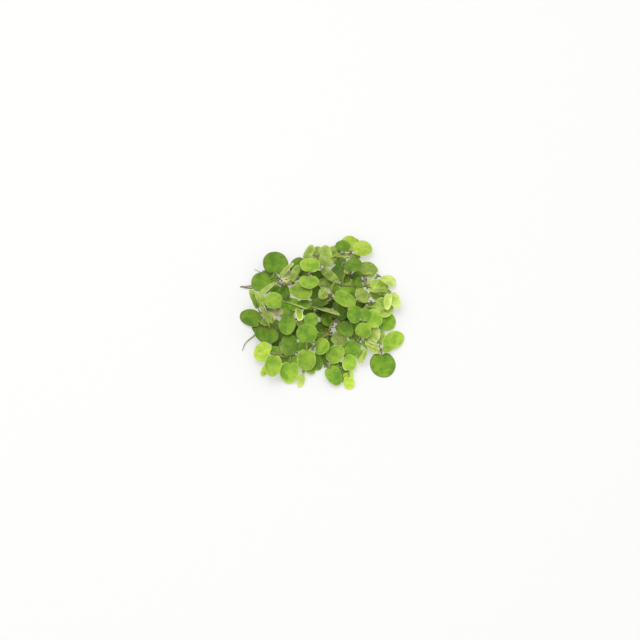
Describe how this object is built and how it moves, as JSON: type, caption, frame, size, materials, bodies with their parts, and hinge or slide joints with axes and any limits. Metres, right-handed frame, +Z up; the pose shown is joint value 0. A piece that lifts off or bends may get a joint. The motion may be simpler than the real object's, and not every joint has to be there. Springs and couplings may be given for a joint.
{
  "type": "water spangles plant",
  "caption": "Loose low clump of a small floating fern: round paired leaves on short stalks along thin branching stems, with brown root-like tufts.",
  "frame": {"origin": "centre of the clump's box at the level of the surface that it lies on", "axes": "+Z up off the surface, -Y towards the viewer of the picture, +X to the viewer's right"},
  "size_m": [0.0818, 0.0864, 0.013],
  "materials": {
    "leaf_old": "dark green older leaf, matte and slightly waxy, with fine short hairs and a thin grey-brown rim",
    "leaf_green": "mid green leaf, matte and slightly waxy, with fine short hairs",
    "leaf_fresh": "light green young leaf, matte and slightly waxy, with fine short hairs and a pale rim",
    "leaf_lime": "bright yellow-green young leaf, matte and slightly waxy",
    "leaf_velvet": "grey-green leaf, velvety with dense short pale hairs",
    "leaf_shade": "very dark green leaf, low in the clump, matte",
    "leaf_pale": "pale green underside or papery leaf, matte",
    "stem": "thin soft stem, olive green, hairy and matte",
    "root": "brown, feathery, root-like leaf, matte"
  },
  "bodies": {
    "root": {"leaves_back_1": "leaf_velvet", "leaves_back_2": "leaf_old", "leaves_back_3": "leaf_velvet", "leaves_back_4": "leaf_old", "leaves_back_left_1": "leaf_shade", "leaves_back_left_2": "leaf_pale", "leaves_back_left_3": "leaf_old", "leaves_back_right_1": "leaf_shade", "leaves_back_right_2": "leaf_green", "leaves_crest_1": "leaf_shade", "leaves_crest_2": "leaf_fresh", "leaves_crown_1": "leaf_velvet", "leaves_crown_2": "leaf_fresh", "leaves_crown_3": "leaf_velvet", "leaves_crown_4": "leaf_velvet", "leaves_front_1": "leaf_shade", "leaves_front_2": "leaf_green", "leaves_front_3": "leaf_lime", "leaves_inner_front_1": "leaf_shade", "leaves_inner_front_2": "leaf_pale", "leaves_inner_left_1": "leaf_green", "leaves_inner_left_2": "leaf_velvet", "leaves_inner_left_3": "leaf_velvet", "leaves_left_1": "leaf_shade", "leaves_left_2": "leaf_old", "leaves_left_front_1": "leaf_green", "leaves_left_front_2": "leaf_lime", "leaves_main_1": "leaf_old", "leaves_main_2": "leaf_pale", "leaves_main_3": "leaf_shade", "leaves_main_4": "leaf_green", "leaves_main_5": "leaf_green", "leaves_middle_1": "leaf_lime", "leaves_middle_2": "leaf_fresh", "leaves_right_1": "leaf_velvet", "leaves_right_2": "leaf_velvet", "leaves_right_3": "leaf_green", "leaves_right_front_1": "leaf_green", "leaves_right_front_2": "leaf_pale", "leaves_right_front_3": "leaf_old", "root_back": "root", "root_centre": "root", "root_far_left": "root", "root_inner": "root", "root_left_front": "root", "root_right": "root", "stem_back": "stem", "stem_back_left": "stem", "stem_back_right": "stem", "stem_crest": "stem", "stem_crown": "stem", "stem_front": "stem", "stem_inner_front": "stem", "stem_inner_left": "stem", "stem_left": "stem", "stem_left_front": "stem", "stem_main": "stem", "stem_middle": "stem", "stem_right": "stem", "stem_right_front": "stem"}
  },
  "joints": []
}
